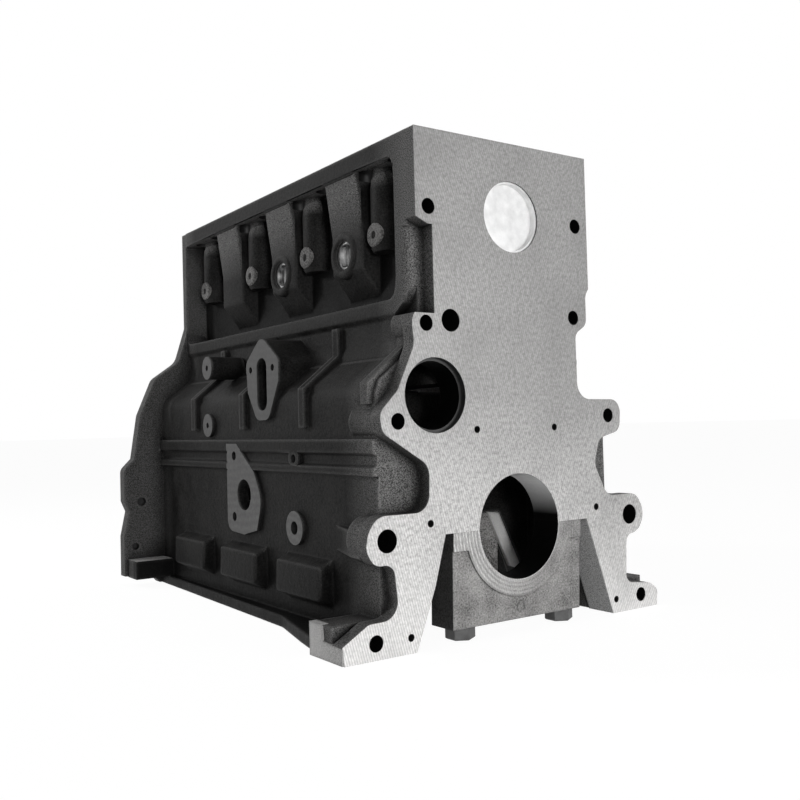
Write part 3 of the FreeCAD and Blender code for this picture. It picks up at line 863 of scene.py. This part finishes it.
def cap_bolts(material):
    """Hexagon heads under the bearing caps, each on its washer face."""
    for word, x in (("left", -CAP_BOLT_X), ("right", CAP_BOLT_X)):
        for i, y in enumerate(CAP_YS):
            bm = bmesh.new()
            add_rod(bm, "z", CAP_WASHER_RADIUS, (x, y, CAP_DROP - 0.6), 1.2, segments=40)
            add_rod(bm, "z", CAP_BOLT_RADIUS, (x, y, CAP_DROP - 5.4), 8.4, segments=6)
            add_rod(bm, "z", 11, (x, y, CAP_DROP - 10.1), 1, top_radius=CAP_BOLT_RADIUS, segments=6)
            finish_piece(f"cap_bolt_{word}_{i + 1}", bm, material)


# Stage.


FLOOR_GAP = 0.2
FLOOR_REACH = 30000
FLOOR_COLOUR = grey(0.85)
FLOOR_GLOW = 1.12
FLOOR_GLOW_SHARE = 0.85
WORLD_STRENGTH = 0.05

# The lights, as name, place, target, side of the square in metres and power in watts.
MIDDLE = (0, 0.1, 0.05)
LIGHTS = [
    ("key_low", (0.5, -1.75, -0.04), (0, 0.1, -0.03), 0.8, 27),
    ("front_left", (-0.85, -1.75, 0.25), MIDDLE, 0.3, 13),
    ("sky", (-0.3, 0.1, 1.9), MIDDLE, 1.0, 3),
    ("left_back", (-1.2, 1.4, 0.8), (-0.1, 0.3, 0.1), 0.3, 8),
]

# The camera's place in millimetres, its axes in the row's frame, and its lens.
CAMERA_PLACE = Vector((-526.29, -582.04, 87.32))
CAMERA_RIGHT = Vector((0.81987512, -0.57192216, -0.02664251))
CAMERA_DOWN = Vector((-0.00648078, 0.03726036, -0.99928458))
CAMERA_AHEAD = Vector((0.57250571, 0.81946123, 0.02684234))
CAMERA_LENS = 41.6455


def white_to_camera(tree, shader, white_share):
    """Mixes in a share of plain white for rays straight from the camera, off gloss or through glass."""
    path = tree.nodes.new("ShaderNodeLightPath")
    seen = path.outputs["Is Camera Ray"]
    for ray in ("Is Glossy Ray", "Is Transmission Ray"):
        either = tree.nodes.new("ShaderNodeMath")
        either.operation = "MAXIMUM"
        tree.links.new(seen, either.inputs[0])
        tree.links.new(path.outputs[ray], either.inputs[1])
        seen = either.outputs[0]
    part = tree.nodes.new("ShaderNodeMath")
    part.operation = "MULTIPLY"
    part.inputs[1].default_value = white_share
    tree.links.new(seen, part.inputs[0])
    mix = tree.nodes.new("ShaderNodeMixShader")
    tree.links.new(part.outputs[0], mix.inputs[0])
    tree.links.new(shader, mix.inputs[1])
    return mix


def make_floor():
    """A plain white floor that keeps the object's shadow."""
    bm = bmesh.new()
    bmesh.ops.create_grid(bm, x_segments=1, y_segments=1, size=FLOOR_REACH)
    floor = mesh_object("floor", bm)
    floor.location.z = (RAIL - FLOOR_GAP) * MM
    material = bpy.data.materials.new("floor")
    material.use_nodes = True
    tree = material.node_tree
    plain = tree.nodes["Principled BSDF"]
    plain.inputs["Base Color"].default_value = FLOOR_COLOUR
    plain.inputs["Roughness"].default_value = 0.9
    glow = tree.nodes.new("ShaderNodeEmission")
    glow.inputs["Strength"].default_value = FLOOR_GLOW
    mix = white_to_camera(tree, plain.outputs[0], FLOOR_GLOW_SHARE)
    tree.links.new(glow.outputs[0], mix.inputs[2])
    tree.links.new(mix.outputs[0], tree.nodes["Material Output"].inputs["Surface"])
    dress(floor, material)


def make_world():
    """A dim world that is seen as white."""
    world = bpy.data.worlds.new("studio")
    bpy.context.scene.world = world
    world.use_nodes = True
    tree = world.node_tree
    dim = tree.nodes["Background"]
    dim.inputs["Color"].default_value = grey(1)
    dim.inputs["Strength"].default_value = WORLD_STRENGTH
    white = tree.nodes.new("ShaderNodeBackground")
    white.inputs["Color"].default_value = grey(1)
    mix = white_to_camera(tree, dim.outputs[0], 1.0)
    tree.links.new(white.outputs[0], mix.inputs[2])
    tree.links.new(mix.outputs[0], tree.nodes["World Output"].inputs["Surface"])


def add_light(name, place, target, size, power):
    light = bpy.data.lights.new(name, "AREA")
    light.shape = "SQUARE"
    light.size = size
    light.energy = power
    obj = new_object(name, light)
    obj.location = place
    obj.rotation_euler = (Vector(target) - Vector(place)).to_track_quat("-Z", "Y").to_euler()


def make_lights():
    for light in LIGHTS:
        add_light(*light)


def make_camera():
    """The photograph's viewpoint: nearly level, 35 degrees round to the left of the near face."""
    data = bpy.data.cameras.new("camera")
    data.sensor_width = 36
    data.lens = CAMERA_LENS
    data.clip_start = 0.01
    data.clip_end = 200
    camera = new_object("camera", data)
    turn = Matrix((CAMERA_RIGHT, -CAMERA_DOWN, -CAMERA_AHEAD)).transposed().to_4x4()
    camera.matrix_world = Matrix.Translation(CAMERA_PLACE * MM) @ turn
    bpy.context.scene.camera = camera


def dress_casting(iron, drilled):
    """Rounds, drills and dresses the casting."""
    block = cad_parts["block_casting"]
    weld(block)
    soften(block)
    drill_block(block, drilled)
    smooth_by_angle(block)
    dress(block, iron)


def dress_caps(iron):
    for name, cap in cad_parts.items():
        if name.startswith("main_bearing_cap"):
            weld(cap)
            smooth_by_angle(cap)
            dress(cap, iron)


def dress_plugs(steel):
    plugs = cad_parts["core_plugs"]
    weld(plugs)
    hollow_plugs(plugs)
    smooth_by_angle(plugs)
    dress(plugs, steel)


def main():
    make_camera()
    make_world()
    make_floor()
    make_lights()
    iron = iron_material("block_iron", CAST_DARK, CAST_LIGHT, machined_mask)
    cap_iron = iron_material("cap_iron", CAP_DARK, CAP_LIGHT, cap_mask)
    worn = iron_material("worn_iron", WORN_DARK, WORN_LIGHT, no_mask)
    bright = iron_material("bright_iron", BRIGHT_DARK, BRIGHT_LIGHT, no_mask)
    # The drilled holes are dressed in near-black painted shade.
    dress_casting(iron, steel_material("drilled", DRILLED_SHADE_DARK, DRILLED_SHADE_LIGHT, 0.5, 0.0))
    dress_caps(cap_iron)
    dress_plugs(plug_material())
    cap_bolts(steel_material("bolt_steel", BOLT_DARK, BOLT_LIGHT, 0.45, 0.6))
    chamber_forms(iron, worn)
    web_strip(bright)
    foot_land(bright)
    cap_mark(cap_iron)


main()
bpy.context.scene.view_settings.view_transform = "Standard"
